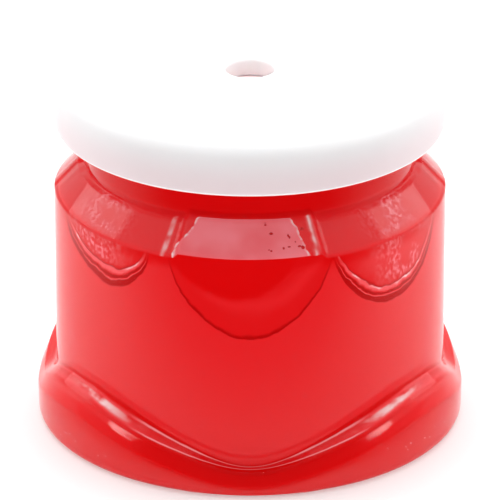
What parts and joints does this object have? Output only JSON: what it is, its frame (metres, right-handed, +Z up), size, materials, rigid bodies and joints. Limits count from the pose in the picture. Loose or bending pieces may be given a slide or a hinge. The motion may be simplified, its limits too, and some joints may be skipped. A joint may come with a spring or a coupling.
{
  "type": "paint jar",
  "caption": "Small round screw-top jar of red paint, with a V-crested foot, a sloped shoulder and a white cap that unscrews.",
  "frame": {"origin": "on the ground under the middle of the jar", "axes": "+Z up along the jar's axis, front of the jar (the deepest dip of its foot's crest) towards -Y"},
  "size_m": [0.036, 0.036, 0.0309],
  "materials": {
    "clear_plastic": "clear, polished",
    "red_paint": "wet, glossy",
    "natural_plastic": "milky, satin",
    "white_plastic": "satin"
  },
  "bodies": {
    "jar": {"jar_body": "clear_plastic", "paint_fill": "red_paint"},
    "disc": {"seal_disc": "natural_plastic"},
    "cap": {"screw_cap": "white_plastic"}
  },
  "joints": [
    {"name": "cap_lift", "type": "slide", "parent": "jar", "child": "disc", "axis": [0, 0, 1], "range_m": [0, 0.009]},
    {"name": "cap_turn", "type": "hinge", "parent": "disc", "child": "cap", "pos_m": [0, 0, 0.027], "axis": [0, 0, 1], "range_deg": [0, 1080]}
  ],
  "couplings": [
    {"joint": "cap_lift", "follows": "cap_turn", "m_per_rad": 0.00047746}
  ]
}
